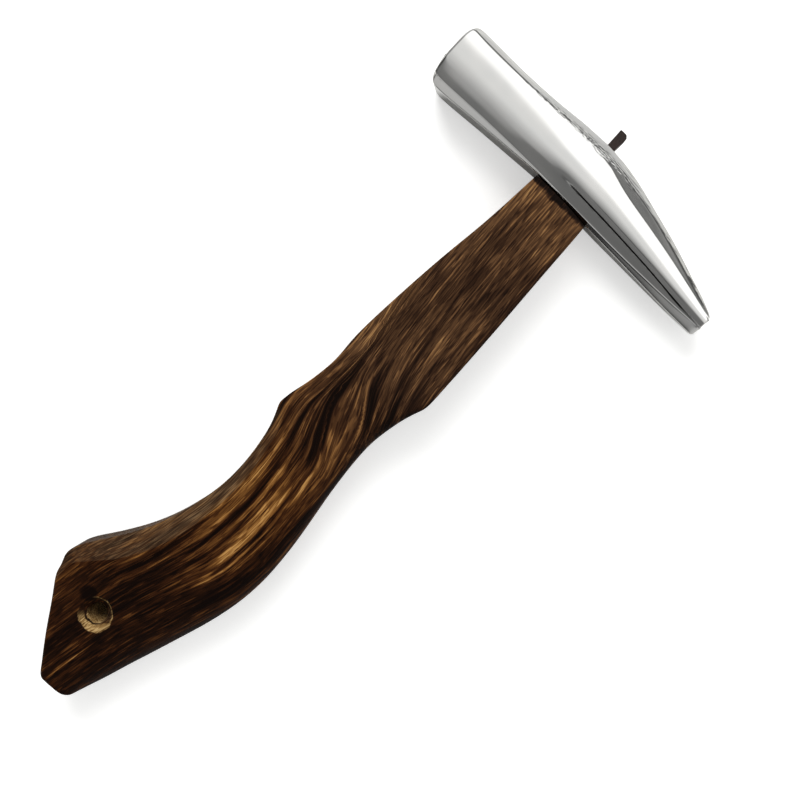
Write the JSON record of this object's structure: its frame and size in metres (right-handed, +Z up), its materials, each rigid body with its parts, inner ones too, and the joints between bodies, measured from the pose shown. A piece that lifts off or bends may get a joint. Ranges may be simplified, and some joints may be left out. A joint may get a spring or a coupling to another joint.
{
  "type": "sheet metal hammer",
  "caption": "Sheet metal worker's hammer with a polished steel head, square domed face, long tapered peen and a pistol-grip hardwood handle, wedged in the eye, lying on its side.",
  "frame": {"origin": "middle of the flat that the hammer lies on", "axes": "+X from the striking face to the peen, +Y from the butt of the handle to the top of the head, +Z up from the side flat of the head that it lies on"},
  "size_m": [0.1162, 0.2602, 0.0185],
  "materials": {
    "polished_steel": "polished",
    "dark_hardwood": "satin",
    "blackened_steel": "satin"
  },
  "bodies": {
    "root": {"head": "polished_steel", "handle": "dark_hardwood", "wedge": "blackened_steel"}
  },
  "joints": []
}
